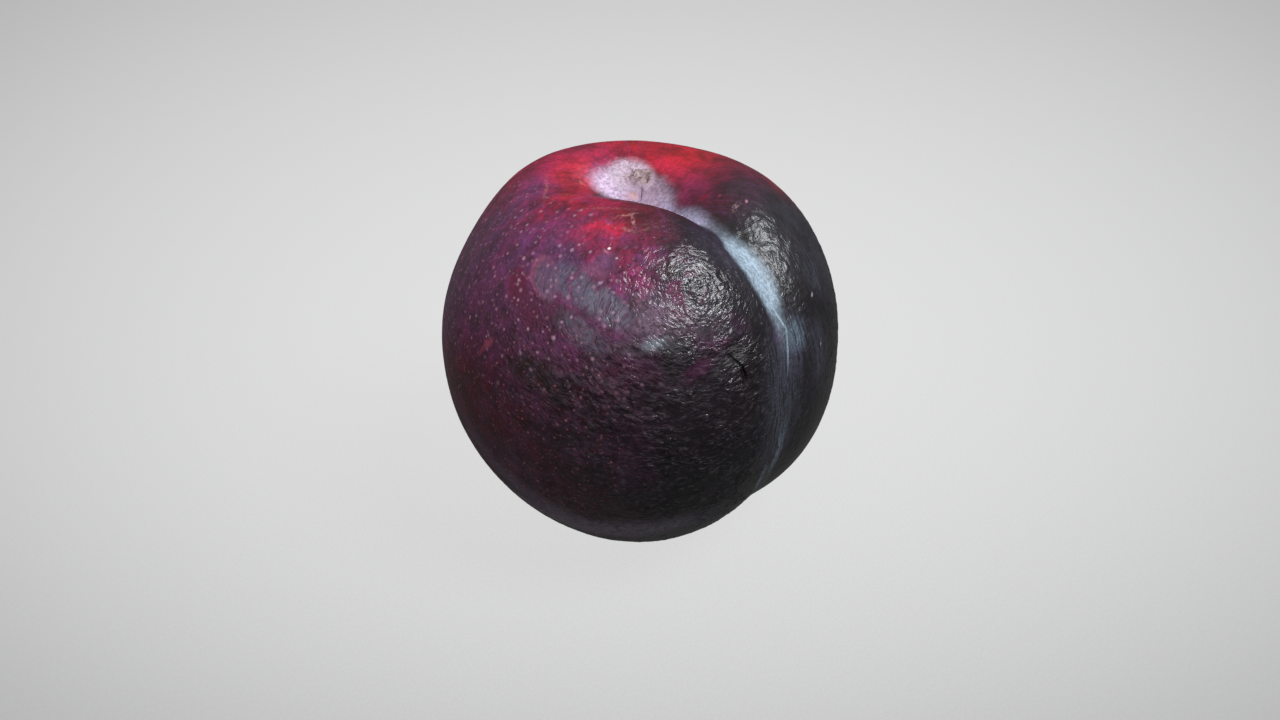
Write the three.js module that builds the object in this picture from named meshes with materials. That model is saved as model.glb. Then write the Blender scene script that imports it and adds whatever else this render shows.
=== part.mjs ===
// A ripe dark plum: one closed body with a stem cavity, a suture groove and uneven shoulders.
// Millimetres, +Z up along the stem axis. The suture lies in the plane x = 0 and faces -Y.
// The fruit stands on a small flat spot at its blossom end, with the origin under its middle.

import * as THREE from 'three';
import { mergeVertices } from 'three/addons/utils/BufferGeometryUtils.js';

// ---- driving dimensions -------------------------------------------------------------------

// Half extents of the plain body, measured from the middle of its girth.
const SIDE_REACH = 30;
const FRONT_REACH = 29.2;
const BACK_REACH = 30.1;
const TOP_REACH = 30.2;
const BOTTOM_REACH = 30.8;

// How square the body's profile is: 2 is an ellipse, more is fuller at the shoulders.
const TOP_FULLNESS = 2.15;
const BOTTOM_FULLNESS = 2.11;

// Stem cavity: a round funnel on the stem axis. Its spread is an angle from that axis.
const CAVITY_DEPTH = 8;
const CAVITY_SPREAD_DEG = 24.5;
const CAVITY_STEEPNESS = 2.4;

// Suture groove: deepest beside the stem cavity, a shallow valley down the front.
const SUTURE_TOP_DEPTH = 4.5;
const SUTURE_LOW_DEPTH = 1.05;
const SUTURE_HALF_WIDTH = 5;
const SUTURE_SHARPNESS = 1.6;
const SUTURE_DEEPEST_DEG = 26;
const SUTURE_DEEP_SPREAD_DEG = 27;
const SUTURE_END_DEG = 168;
const SUTURE_FADE_DEG = 40;
const SUTURE_FRONT_START = -0.1;
const SUTURE_FRONT_BLEND = 0.3;

// The soft swells and hollows that make the fruit uneven. Azimuth is counted from the suture
// towards +X, latitude from the girth up, and height is how far the skin stands out.
const SWELLS = [
  { name: 'left shoulder', azimuth: -35, latitude: 35, height: 1.6, spread: 30 },
  { name: 'left cheek, below', azimuth: -100, latitude: -45, height: -0.5, spread: 30 },
  { name: 'left foot', azimuth: -50, latitude: -60, height: 0.35, spread: 28 },
  { name: 'left back shoulder, flattened', azimuth: -125, latitude: 45, height: -1.75, spread: 22 },
  { name: 'back rim of the cavity, left', azimuth: -160, latitude: 55, height: 0.9, spread: 22 },
  { name: 'back rim of the cavity, right', azimuth: 150, latitude: 60, height: 0.8, spread: 22 },
  { name: 'right back shoulder', azimuth: 110, latitude: 45, height: 0.2, spread: 25 },
  { name: 'right cheek, above', azimuth: 75, latitude: 20, height: -0.4, spread: 30 },
  { name: 'right cheek, below', azimuth: 55, latitude: -35, height: 1.3, spread: 28 },
  { name: 'front foot', azimuth: 20, latitude: -55, height: -0.85, spread: 25 },
];

// The flat spot that the fruit rests on.
const FOOT_RADIUS = 6.5;

// Squares along each edge of the cube whose faces are blown up into the skin.
const SKIN_CELLS = 30;

// ---- surface ------------------------------------------------------------------------------

const smooth = (t) => THREE.MathUtils.smoothstep(t, 0, 1);

// A bell that is 1 at 0 and falls away over the given width.
const bell = (offset, width, power = 2) => Math.exp(-Math.pow(Math.abs(offset) / width, power));

function unitDirection(azimuth, latitude) {
  const a = THREE.MathUtils.degToRad(azimuth);
  const l = THREE.MathUtils.degToRad(latitude);
  return new THREE.Vector3(Math.cos(l) * Math.sin(a), -Math.cos(l) * Math.cos(a), Math.sin(l));
}

const swellCentres = SWELLS.map((swell) => unitDirection(swell.azimuth, swell.latitude));

// The plain body: an ellipsoid with its own reach each way and full shoulders.
function plainRadius(d) {
  const reachY = d.y < 0 ? FRONT_REACH : BACK_REACH;
  const reachZ = d.z > 0 ? TOP_REACH : BOTTOM_REACH;
  const fullness = d.z > 0 ? TOP_FULLNESS : BOTTOM_FULLNESS;
  const girth = Math.hypot(d.x / SIDE_REACH, d.y / reachY);
  const height = Math.abs(d.z) / reachZ;
  return Math.pow(Math.pow(girth, fullness) + Math.pow(height, fullness), -1 / fullness);
}

function swellHeight(d) {
  let height = 0;
  SWELLS.forEach((swell, i) => {
    const away = THREE.MathUtils.radToDeg(d.angleTo(swellCentres[i]));
    height += swell.height * bell(away, swell.spread);
  });
  return height;
}

// How deep the groove is cut at a place: across it by the distance from the plane x = 0, and
// along it by the angle from the stem axis.
function sutureDepth(d, radius, polar) {
  const front = smooth((-d.y - SUTURE_FRONT_START) / SUTURE_FRONT_BLEND);
  const extra = (SUTURE_TOP_DEPTH - SUTURE_LOW_DEPTH)
    * bell(polar - SUTURE_DEEPEST_DEG, SUTURE_DEEP_SPREAD_DEG);
  const along = (SUTURE_LOW_DEPTH + extra) * smooth((SUTURE_END_DEG - polar) / SUTURE_FADE_DEG);
  return along * front * bell(radius * d.x, SUTURE_HALF_WIDTH, SUTURE_SHARPNESS);
}

function skinRadius(d) {
  const polar = THREE.MathUtils.radToDeg(Math.acos(THREE.MathUtils.clamp(d.z, -1, 1)));
  const swollen = plainRadius(d) + swellHeight(d);
  const grooved = swollen - sutureDepth(d, swollen, polar);
  return grooved - CAVITY_DEPTH * bell(polar, CAVITY_SPREAD_DEG, CAVITY_STEEPNESS);
}

// ---- solid --------------------------------------------------------------------------------

// A cube's grid turned into evenly spread directions, then each pushed out to the skin.
function plumGeometry() {
  const grid = new THREE.BoxGeometry(2, 2, 2, SKIN_CELLS, SKIN_CELLS, SKIN_CELLS);
  grid.deleteAttribute('normal');
  grid.deleteAttribute('uv');
  grid.clearGroups();
  const geometry = mergeVertices(grid, 1e-5);
  const points = geometry.attributes.position;
  const even = (c) => Math.tan((c * Math.PI) / 4);
  const d = new THREE.Vector3();
  for (let i = 0; i < points.count; i += 1) {
    d.fromBufferAttribute(points, i);
    d.set(even(d.x), even(d.y), even(d.z)).normalize();
    d.multiplyScalar(skinRadius(d));
    points.setXYZ(i, d.x, d.y, d.z);
  }
  flattenFoot(points);
  geometry.computeBoundingBox();
  const box = geometry.boundingBox;
  geometry.translate(-(box.min.x + box.max.x) / 2, -(box.min.y + box.max.y) / 2, -box.min.z);
  return geometry;
}

// Everything below the level where the underside is as wide as the foot is lifted to it.
function flattenFoot(points) {
  let level = -Infinity;
  for (let i = 0; i < points.count; i += 1) {
    const inFoot = Math.hypot(points.getX(i), points.getY(i)) < FOOT_RADIUS;
    if (points.getZ(i) < 0 && inFoot) {
      level = Math.max(level, points.getZ(i));
    }
  }
  for (let i = 0; i < points.count; i += 1) {
    points.setZ(i, Math.max(points.getZ(i), level));
  }
}

const skin = new THREE.MeshStandardMaterial({ color: 0x35182a, roughness: 0.42, metalness: 0 });

const plum = new THREE.Mesh(plumGeometry(), skin);
plum.name = 'plum';

const part = new THREE.Group();
part.add(plum);

export default part;
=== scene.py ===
"""A ripe dark plum, dressed for close views, on a plain pale stage.

The plum's solid is replaced by a fine skin with crinkles, a stem scar, a healed wound and a few
scuffs. Its colour is built from marks of pigment and waxy bloom, with lenticels scattered over it,
and glints, a sheen on the wrinkles' ridges and shade in their creases are painted into it. The
stage's floor glows for the camera with a painted pool of light.
"""

import math

import bmesh
import bpy
from bpy.props import FloatProperty, FloatVectorProperty, IntProperty, PointerProperty
from bpy.types import Operator, Panel, PropertyGroup
from mathutils import Matrix, Vector


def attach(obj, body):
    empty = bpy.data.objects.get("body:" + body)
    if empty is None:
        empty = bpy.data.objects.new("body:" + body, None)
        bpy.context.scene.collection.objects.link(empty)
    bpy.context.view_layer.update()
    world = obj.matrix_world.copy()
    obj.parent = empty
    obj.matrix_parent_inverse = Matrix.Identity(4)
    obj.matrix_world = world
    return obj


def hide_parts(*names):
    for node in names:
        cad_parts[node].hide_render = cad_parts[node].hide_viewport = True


bl_info = {
    "name": "Ripe Plum",
    "version": (1, 0, 0),
    "blender": (4, 5, 0),
    "location": "3D View > Sidebar > Plum",
    "description": "Dresses the plum's solid with its finished skin and sets a plain pale stage",
    "category": "Object",
}

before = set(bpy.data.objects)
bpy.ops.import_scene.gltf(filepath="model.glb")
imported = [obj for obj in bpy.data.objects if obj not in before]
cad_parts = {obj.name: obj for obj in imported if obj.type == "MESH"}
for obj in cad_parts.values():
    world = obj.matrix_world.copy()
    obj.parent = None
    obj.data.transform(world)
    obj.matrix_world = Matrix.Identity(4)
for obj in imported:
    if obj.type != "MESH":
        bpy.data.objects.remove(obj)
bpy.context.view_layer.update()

# The middle of the fruit's girth, from which every place on the skin is given as an azimuth,
# counted from the suture towards +X, and a latitude, counted up from the girth, in degrees.
GIRTH_CENTRE = Vector((0.00004, -0.00072, 0.03006))
GIRTH_RADIUS_MM = 30
MM_PER_M = 1000

# How far the skin's mesh is drawn towards the shoulder's crown, where it has to be finest.
FINER_IN_FRONT = 0.22

# The camera: which side of the fruit it stands on and how it is rolled, in degrees, its distance
# from the middle of the girth in metres, its lens and sensor in millimetres, and its shift.
VIEW_AZIMUTH = -43.57
VIEW_LATITUDE = 29.81
VIEW_ROLL = -0.83
VIEW_DISTANCE = 0.13409
LENS_MM = 24.444
SENSOR_MM = 36
VIEW_SHIFT = (-0.00106, -0.01869)

# The key light: its size and distance in metres, its colour, and how far to the right, up and
# towards the camera it hangs.
KEY_WIDTH = 0.18
KEY_HEIGHT = 0.28
KEY_DISTANCE = 0.5
KEY_COLOUR = (0.93, 0.97, 1.00)
KEY_TOWARD = (0.52, 0.53, 0.67)

# Where the sky is brightest, in degrees up from the horizon on the camera's side, and how well a
# direction agrees with that one, from -1 to 1, where the sky is darkest and brightest.
SKY_LATITUDE = 50
SKY_DARKEST = -0.75
SKY_BRIGHTEST = 0.85

# The floor: its radius and the grain of its paper in metres, and what it throws back at the fruit.
FLOOR_RADIUS = 4
PAPER_GRAIN = 0.0004
FLOOR_BOUNCE = 0.07

# The painted pool of light on the floor, a glow that only the camera sees: its half width and half
# height as slopes from the camera, and how much darker it is at one half width out. Near the limit
# the fall levels off softly.
POOL_HALF_WIDTH = 0.736
POOL_HALF_HEIGHT = 0.414
POOL_FALL = 0.215
POOL_LIMIT = 2.4
POOL_SOFTNESS = 1.2

# ---- marks on the skin ----------------------------------------------------------------------
#
# Each mark is a soft oval: its name, azimuth, latitude, half length, half width and the tilt of
# its long axis from level, all in degrees, then how soft its edge is from 0 to 1, how strong it
# is, and its colour. Later marks lie over earlier ones.

NIGHT_SKIN = (0.006, 0.004, 0.006)
VIOLET = (0.105, 0.028, 0.115)
CRIMSON = (0.240, 0.010, 0.070)
MAROON = (0.045, 0.003, 0.014)
BLUE_VIOLET = (0.085, 0.045, 0.115)
# The next two colours are painted light: shade in the wrinkles' creases and a sheen on their ridges.
CREASE_SHADE = (0.003, 0.001, 0.002)
RIDGE_SHEEN = (0.070, 0.058, 0.075)
SMALL_DOT = (0.340, 0.110, 0.135)

# Which way the fine dark hatching steps across the left cheek.
HATCH_ACROSS = (0.46, -0.78, -0.43)

PIGMENT = (
    # The fields that cover most of the fruit.
    ("purple left cheek", -112, 22, 52, 40, 0, 0.50, 1.00, (0.105, 0.016, 0.066)),
    ("purple back", 170, 5, 62, 50, 0, 0.70, 0.90, (0.070, 0.010, 0.034)),
    ("magenta middle of the cheek", -74, 27, 17, 10, -10, 0.60, 0.85, (0.105, 0.012, 0.062)),
    ("maroon lower left", -96, 4, 30, 13, 4, 0.60, 0.95, (0.066, 0.000, 0.006)),
    ("maroon bottom left", -88, -12, 34, 16, 0, 0.60, 0.85, (0.048, 0.002, 0.010)),
    ("plum bottom", -66, -26, 40, 16, -6, 0.70, 0.80, (0.034, 0.006, 0.016)),
    ("plum right side", 92, 2, 44, 36, 0, 0.80, 0.80, (0.034, 0.006, 0.020)),
    ("plum front", -46, 8, 26, 20, 0, 0.70, 0.85, (0.022, 0.012, 0.018)),
    ("night front", -20, -18, 30, 26, 0, 0.70, 0.95, (0.002, 0.001, 0.002)),
    ("purple stripe down the middle", -47, 1, 5, 12, 10, 0.80, 0.50, (0.040, 0.010, 0.030)),

    # The shoulder.
    ("magenta left shoulder", -112, 48, 54, 13, 0, 0.70, 0.90, (0.145, 0.014, 0.094)),
    ("magenta front shoulder", -68, 51, 22, 6, -4, 0.60, 0.85, (0.135, 0.010, 0.062)),
    ("magenta above the gloss", -43, 48, 10, 6, -20, 0.80, 0.85, (0.060, 0.008, 0.042)),
    ("crimson ring, back", 168, 61, 52, 16, 0, 0.55, 1.00, (0.300, 0.008, 0.040)),
    ("crimson ring, left", -105, 64, 44, 10, 0, 0.60, 0.95, (0.260, 0.006, 0.044)),
    ("crimson ring, front left", -72, 61, 22, 6.5, 4, 0.60, 1.00, (0.300, 0.002, 0.036)),
    ("red ring, right", 106, 64, 34, 11, 0, 0.50, 1.00, (0.320, 0.003, 0.016)),
    ("bright red, right", 78, 70, 11, 6, 10, 0.70, 0.90, (0.360, 0.006, 0.036)),
    ("bright red, high right", 96, 64, 8, 6, 0, 0.80, 0.70, (0.430, 0.004, 0.008)),
    ("bright red, back left", -142, 70, 10, 6, 0, 0.70, 0.90, (0.380, 0.010, 0.022)),
    ("bright red, left", -100, 64, 10, 4, 0, 0.80, 0.90, (0.380, 0.006, 0.016)),
    ("orange lip", -158, 71, 5, 2.2, 10, 0.80, 0.45, (0.480, 0.040, 0.030)),
    ("bright red, front", -57, 57.0, 9, 3.6, 4, 0.80, 0.95, (0.500, 0.003, 0.022)),
    ("violet on the left rim", -82, 52, 9, 3.5, 35, 0.80, 0.75, (0.105, 0.018, 0.100)),
    ("violet on the back left rim", -124, 59, 9, 6, 0, 0.80, 0.70, (0.120, 0.022, 0.100)),
    ("violet on the left shoulder", -112, 50, 9, 5, 0, 0.80, 0.60, (0.110, 0.028, 0.090)),
    ("red blotch on the left rim", -100, 57, 3, 1.8, 0, 0.70, 0.70, (0.260, 0.005, 0.045)),
    ("dark limb of the left shoulder", -128, 38, 12, 10, 0, 0.80, 0.80, (0.070, 0.014, 0.045)),
    ("dark red front rim", -44, 60, 8, 5, -10, 0.70, 0.90, (0.120, 0.002, 0.006)),
    ("maroon front rim", -30, 58, 8, 7, -30, 0.80, 0.90, (0.050, 0.002, 0.012)),
    ("night rim by the suture", -18, 54, 8, 7, -40, 0.70, 0.95, (0.010, 0.004, 0.013)),

    # Round the cavity's right side and down the right lobe.
    ("maroon right rim", 36, 66, 13, 5.5, 10, 0.70, 0.95, (0.070, 0.003, 0.016)),
    ("maroon right edge", 62, 58, 14, 10, 0, 0.80, 0.90, (0.120, 0.003, 0.014)),
    ("crimson right of the ribbon", 42, 73, 9, 4, 20, 0.80, 0.80, (0.240, 0.010, 0.065)),
    ("maroon right shoulder", 40, 58, 14, 6, 0, 0.80, 0.85, (0.050, 0.006, 0.024)),
    ("greenish black right rim", 30, 61, 6, 3.0, 0, 0.70, 0.70, (0.014, 0.008, 0.009)),
    ("night right shoulder", 24, 44, 20, 11, 0, 0.70, 0.95, (0.010, 0.008, 0.012)),
    ("grey edge of the right lobe", 34, 40, 9, 18, 0, 0.80, 0.60, (0.020, 0.018, 0.026)),

    # In and below the gloss of the left shoulder.
    ("black under the gloss", -28, 39, 12, 11, 0, 0.80, 0.95, (0.009, 0.005, 0.011)),
    ("magenta left of the gloss", -43, 43, 5, 3.5, -40, 0.80, 0.55, (0.090, 0.012, 0.056)),
    ("magenta under the gloss", -26, 27, 4, 1.8, -10, 0.70, 0.70, (0.050, 0.004, 0.032)),
    ("magenta left of the pit", -29, 22, 4, 1.6, 25, 0.70, 0.65, (0.055, 0.008, 0.036)),
    ("magenta right of the gloss", -18, 30, 4, 2.2, -30, 0.80, 0.60, (0.024, 0.005, 0.022)),
    ("dark pit", -20.5, 24, 2.8, 1.8, -20, 0.70, 0.95, (0.004, 0.000, 0.002)),
    ("violet at the groove's foot", -4.5, 21.5, 1.6, 3.0, 0, 0.80, 0.60, (0.055, 0.022, 0.065)),

    # Blotches on the left cheek.
    ("maroon by the pale oval", -66, 33, 7, 3.0, -38, 0.60, 0.80, (0.070, 0.006, 0.032)),
    ("magenta right of the hatching", -51, 41, 5, 2.4, -50, 0.60, 0.70, (0.160, 0.024, 0.090)),
    ("greenish black patch", -71, 18, 8, 4.0, -8, 0.50, 0.90, (0.018, 0.009, 0.008)),
    ("greenish black below it", -61, 16, 7, 3.0, -15, 0.60, 0.80, (0.020, 0.010, 0.010)),
    ("purple below the patch", -72, 11, 9, 3.5, -10, 0.70, 0.75, (0.062, 0.012, 0.038)),
    ("plum between the patches", -54, 18, 6, 4, 0, 0.80, 0.60, (0.052, 0.018, 0.034)),
    ("dark plum under the band", -53, 25, 7, 2.6, -20, 0.70, 0.75, (0.028, 0.009, 0.020)),
    ("purple, low left", -79, -8, 6, 4, 0, 0.80, 0.60, (0.060, 0.016, 0.038)),
)

# Spots with a clear edge.
SPOTS = (
    ("dark red oval", -82, 37, 4.6, 2.8, -58, 0.30, 0.90, (0.125, 0.000, 0.030)),
    ("dark red below the oval", -76, 33, 5, 3.0, -40, 0.60, 0.75, (0.090, 0.004, 0.032)),
    ("outline of the pale oval", -73.5, 40.8, 5.6, 3.6, -52, 0.15, 0.85, (0.290, 0.065, 0.130)),
    ("pale oval", -72.6, 40.0, 4.8, 2.9, -52, 0.30, 0.90, (0.115, 0.065, 0.125)),
    ("violet spot", -55, 46, 2.6, 2.2, 30, 0.70, 0.60, (0.150, 0.058, 0.150)),
    ("pink below the violet spot", -58, 43.4, 3.2, 1.6, -10, 0.80, 0.60, (0.230, 0.070, 0.150)),
    ("pink blotch", -87.2, 21.2, 2.0, 0.8, 50, 0.80, 0.70, (0.380, 0.060, 0.110)),
    ("pink blotch, lower", -89.6, 18.4, 1.5, 0.6, 62, 0.80, 0.55, (0.330, 0.040, 0.080)),
)

# Wax on the left cheek with fine dark strokes through it.
HATCHED = (
    ("violet hatching, high", -71, 46, 5, 4, -40, 0.50, 0.60, (0.100, 0.032, 0.110)),
    ("grey hatching", -63, 40, 6.4, 3.4, -38, 0.35, 0.90, (0.110, 0.092, 0.145)),
    ("grey band, upper", -53, 36, 6.5, 3.2, -34, 0.40, 1.00, (0.125, 0.110, 0.155)),
)

# Thin wax that greys the pigment; the film on the far left also stands in for a sheen, painted where the skin
# turns away.
FILM = (
    ("film over the high cheek", -104, 40, 22, 13, 10, 0.80, 0.08, (0.170, 0.100, 0.180)),
    # Partly thin wax, partly a painted sheen where the skin turns away at the left edge of the main view.
    ("film and painted sheen on the far left", -132, 16, 20, 34, 0, 0.80, 0.28, (0.170, 0.120, 0.200)),
    ("film on the right side", 78, 20, 26, 30, 0, 0.90, 0.25, (0.070, 0.055, 0.090)),
    ("film under the bottom", -62, -33, 26, 5, 0, 0.80, 0.75, (0.170, 0.140, 0.190)),
    ("film along the lower left limb", -77, -24, 24, 4, -32, 0.80, 0.70, (0.095, 0.065, 0.105)),
    ("grey band, lower", -59, 30, 6.5, 2.8, -30, 0.50, 0.70, (0.100, 0.082, 0.118)),
    ("blue white spot", -40.5, 28, 2.6, 1.3, 12, 0.80, 0.95, (0.150, 0.160, 0.185)),
    ("grey left of the spot", -46, 27, 4, 1.6, -10, 0.80, 0.55, (0.060, 0.050, 0.064)),
    ("grey right of the spot", -35, 27, 4, 1.6, -10, 0.80, 0.35, (0.050, 0.050, 0.060)),
    ("violet glaze by the groove", -13, 48, 6, 5, -40, 0.80, 0.40, (0.050, 0.040, 0.070)),
    ("violet glaze beside the strip", -11, 40, 9, 3, -80, 0.80, 0.25, (0.045, 0.042, 0.060)),
    ("grey foot of the gloss", -31, 32.5, 8, 4, -20, 0.80, 0.35, (0.105, 0.080, 0.110)),
    ("violet halo of the cavity's bloom", -168, 74, 8, 4, 0, 0.80, 0.45, (0.300, 0.070, 0.200)),
    ("pink haze on the front shoulder", -72, 55, 12, 4, 0, 0.80, 0.20, (0.300, 0.040, 0.120)),
    ("pale wrinkles left of the gloss", -41.5, 33.5, 4.5, 5, 10, 0.80, 0.60, (0.150, 0.095, 0.145)),
)

# Wax drawn down the groove and the right lobe in strands.
STRANDS = (
    ("blue film at the groove's foot", 4.0, 20.5, 3.0, 3.6, 0, 0.80, 1.00, (0.120, 0.175, 0.225)),
    ("blue film round the groove's foot", 1, 19, 7, 7, 0, 0.80, 0.50, (0.070, 0.070, 0.105)),
    ("violet film down the groove", -3, 4, 7, 18, 0, 0.80, 0.60, (0.046, 0.047, 0.068)),
    ("blue streak, low", -1.5, -12, 1.6, 8, 0, 0.70, 0.80, (0.085, 0.105, 0.145)),
    ("blue streak, lowest", -6, -22, 1.3, 6, 0, 0.70, 0.70, (0.080, 0.100, 0.140)),
    ("violet streaks, right edge", 21, 31, 3.4, 5, 0, 0.80, 0.45, (0.050, 0.052, 0.078)),
    ("violet streaks, lower right", 13.5, 12, 4, 8, 0, 0.80, 0.40, (0.050, 0.052, 0.078)),
)

# Thick white bloom.
BLOOM = (
    ("bloom in the cavity", -174, 82, 9.4, 8.8, 0, 0.34, 1.00, (0.600, 0.450, 0.620)),
    ("bloom round the scar", 150, 79, 7.6, 7.6, 0, 0.30, 1.00, (0.480, 0.370, 0.460)),
    ("bloom at the cavity's floor", 60, 88, 9, 8, 0, 0.60, 0.80, (0.300, 0.200, 0.290)),
    ("bloom right of the scar", 102, 82, 5.6, 5, 0, 0.60, 0.75, (0.280, 0.180, 0.250)),
    ("bloom towards the groove", 44, 82.5, 5, 5, 0, 0.60, 0.80, (0.330, 0.230, 0.330)),
    ("disc of the stem scar", 132, 79, 3.8, 3.5, 0, 0.45, 0.65, (0.290, 0.200, 0.195)),
)

# Small crisp marks that lie over all else; among them are glints painted into the colour.
FLECKS = (
    # A painted glint on the shoulder, with a pink tail of painted highlight.
    ("sparkle on the shoulder", -54, 49.2, 0.34, 0.28, 20, 0.60, 1.00, (0.850, 0.740, 0.760)),
    ("its pink tail", -55, 48.4, 0.80, 0.28, -40, 0.80, 0.60, (0.420, 0.180, 0.260)),
    # Painted glints: highlights painted into the colour.
    ("painted glint, first", -51, 46.8, 0.26, 0.20, 0, 0.60, 0.80, (0.560, 0.460, 0.520)),
    ("painted glint, second", -48, 41.8, 0.50, 0.18, -50, 0.60, 0.85, (0.500, 0.420, 0.500)),
    ("lilac star, left", -55, 41, 0.55, 0.30, 40, 0.80, 0.75, (0.360, 0.240, 0.360)),
    ("lilac star, right", -51, 39, 0.50, 0.26, -20, 0.80, 0.65, (0.340, 0.220, 0.340)),
    # Painted glints beside the gloss.
    ("painted glint by the gloss, high", -44, 38.5, 0.60, 0.18, -60, 0.60, 0.75, (0.460, 0.380, 0.430)),
    ("painted glint by the gloss, low", -41, 37, 0.45, 0.18, 50, 0.60, 0.70, (0.420, 0.350, 0.400)),
    ("core of the blue white spot", -40.5, 28, 1.9, 0.8, 12, 0.90, 0.55, (0.190, 0.215, 0.250)),
    ("arm of the blue white spot", -38.6, 28.6, 1.4, 0.3, 40, 0.90, 0.55, (0.170, 0.190, 0.220)),
    # Painted glints on the right lobe.
    ("painted glint, right lobe", 15.5, 27.5, 0.55, 0.28, 60, 0.70, 0.85, (0.330, 0.320, 0.330)),
    ("painted glint, lower right", 14.5, 14, 0.50, 0.22, 70, 0.70, 0.85, (0.280, 0.260, 0.280)),
    ("red dot by the ribbon", 23, 68, 1.50, 0.95, 0, 0.35, 1.00, (0.200, 0.001, 0.028)),
    ("pink speck, right rim", 20, 57, 0.60, 0.35, 30, 0.60, 0.80, (0.360, 0.180, 0.240)),
    ("red speck, right rim", 21, 64, 0.45, 0.35, 0, 0.60, 0.80, (0.280, 0.020, 0.060)),
    ("groove's bright line, high", -0.5, 27.5, 4.20, 0.28, -69, 0.80, 0.80, (0.330, 0.430, 0.500)),
    ("groove's bright line, low", 0.2, 18.5, 5.50, 0.26, 80, 0.80, 0.75, (0.260, 0.360, 0.430)),
    ("crack, upper arm", -20.0, 21.2, 2.50, 0.26, -52, 0.70, 1.00, (0.000, 0.000, 0.000)),
    ("crack, lower arm", -17.9, 17.7, 2.10, 0.36, -74, 0.70, 1.00, (0.000, 0.000, 0.000)),
    ("crack's hook", -16.4, 16.2, 0.60, 0.30, 20, 0.60, 0.90, (0.000, 0.000, 0.000)),
    # Painted glints round the pit.
    ("sparkle above the pit", -20.5, 28.6, 0.50, 0.22, 60, 0.70, 0.80, (0.330, 0.280, 0.320)),
    ("pink sparkle above the pit", -22.5, 26.5, 0.50, 0.24, 20, 0.70, 0.60, (0.200, 0.080, 0.150)),
    ("sparkle left of the pit", -25.5, 25.5, 0.60, 0.20, -50, 0.70, 0.70, (0.260, 0.130, 0.220)),
    ("short dark dash", -27, -8, 0.90, 0.22, 45, 0.60, 1.00, (0.000, 0.000, 0.000)),
    ("blossom scar", 0, -89, 1.60, 1.60, 0, 0.50, 0.90, (0.180, 0.100, 0.060)),
    ("dark middle of the blossom scar", 0, -89, 0.60, 0.60, 0, 0.60, 0.90, (0.030, 0.015, 0.010)),
)

# Corky scuffs and scratches, broken up into small specks, and a scatter of glints painted beside the gloss.
SCUFFS = (
    ("dark scuff by the cavity, left", -142, 71, 1.6, 0.9, 20, 0.70, 0.90, (0.060, 0.004, 0.006)),
    ("pale rim of that scuff", -138, 71.8, 1.4, 0.4, 30, 0.80, 0.80, (0.520, 0.160, 0.090)),
    ("scuff on the left rim", -98, 65, 1.7, 1.0, 10, 0.80, 0.90, (0.130, 0.020, 0.010)),
    ("pale fleck in that scuff", -101, 65.4, 1.0, 0.4, 30, 0.80, 0.80, (0.450, 0.160, 0.100)),
    ("scratch on the front rim, high", -50, 59.5, 2.6, 0.5, 20, 0.80, 0.80, (0.400, 0.140, 0.140)),
    ("scratch on the front rim, middle", -46, 57.0, 2.4, 0.4, -75, 0.80, 0.80, (0.420, 0.180, 0.180)),
    ("scuff on the front rim", -44, 54.5, 3.6, 1.6, 0, 0.90, 0.80, (0.040, 0.008, 0.010)),
    ("pale fleck in that scuff, left", -48, 54.6, 1.4, 0.5, -20, 0.90, 0.80, (0.360, 0.160, 0.150)),
    ("pale fleck in that scuff, right", -40, 55, 2.4, 0.4, 15, 0.90, 0.60, (0.200, 0.090, 0.080)),
    ("pale scratches right of it", -37, 57, 5.0, 0.4, 16, 0.90, 0.50, (0.180, 0.080, 0.080)),
    ("pale scratches on the rim", -60, 62, 6.0, 0.5, 6, 0.90, 0.40, (0.400, 0.120, 0.110)),
    ("scratches on the left rim", -118, 62, 8.0, 0.5, -12, 0.90, 0.60, (0.440, 0.130, 0.120)),
    ("pale scuff on the right rim", 15, 58, 1.6, 0.7, 10, 0.80, 0.80, (0.260, 0.170, 0.180)),
    # Pale specks painted as glints round the gloss, broken up like the scuffs.
    ("painted glints below the gloss", -37, 33, 5.0, 3.0, 0, 0.90, 0.35, (0.300, 0.200, 0.260)),
    ("stem scar", 132, 79, 3.6, 3.3, 0, 0.25, 0.90, (0.270, 0.185, 0.175)),
    ("dark curls round the stem scar", 145, 78.6, 3.0, 1.0, 90, 0.60, 1.00, (0.075, 0.034, 0.027)),
    ("dark curl over the stem scar", 133, 75.8, 3.0, 0.8, 0, 0.60, 0.95, (0.070, 0.030, 0.024)),
    ("dark curl right of the stem scar", 119, 78.5, 2.4, 0.7, 90, 0.60, 0.90, (0.090, 0.050, 0.042)),
    ("curl in the middle of the scar", 132, 79, 1.4, 0.7, 30, 0.60, 0.85, (0.120, 0.060, 0.050)),
    ("brown flecks left of the scar", 158, 78.5, 2.6, 1.6, 60, 0.80, 0.70, (0.200, 0.100, 0.080)),
    ("orange flecks under the scar", -175, 86.5, 2.6, 1.6, 0, 0.80, 0.90, (0.550, 0.280, 0.230)),
)

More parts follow.
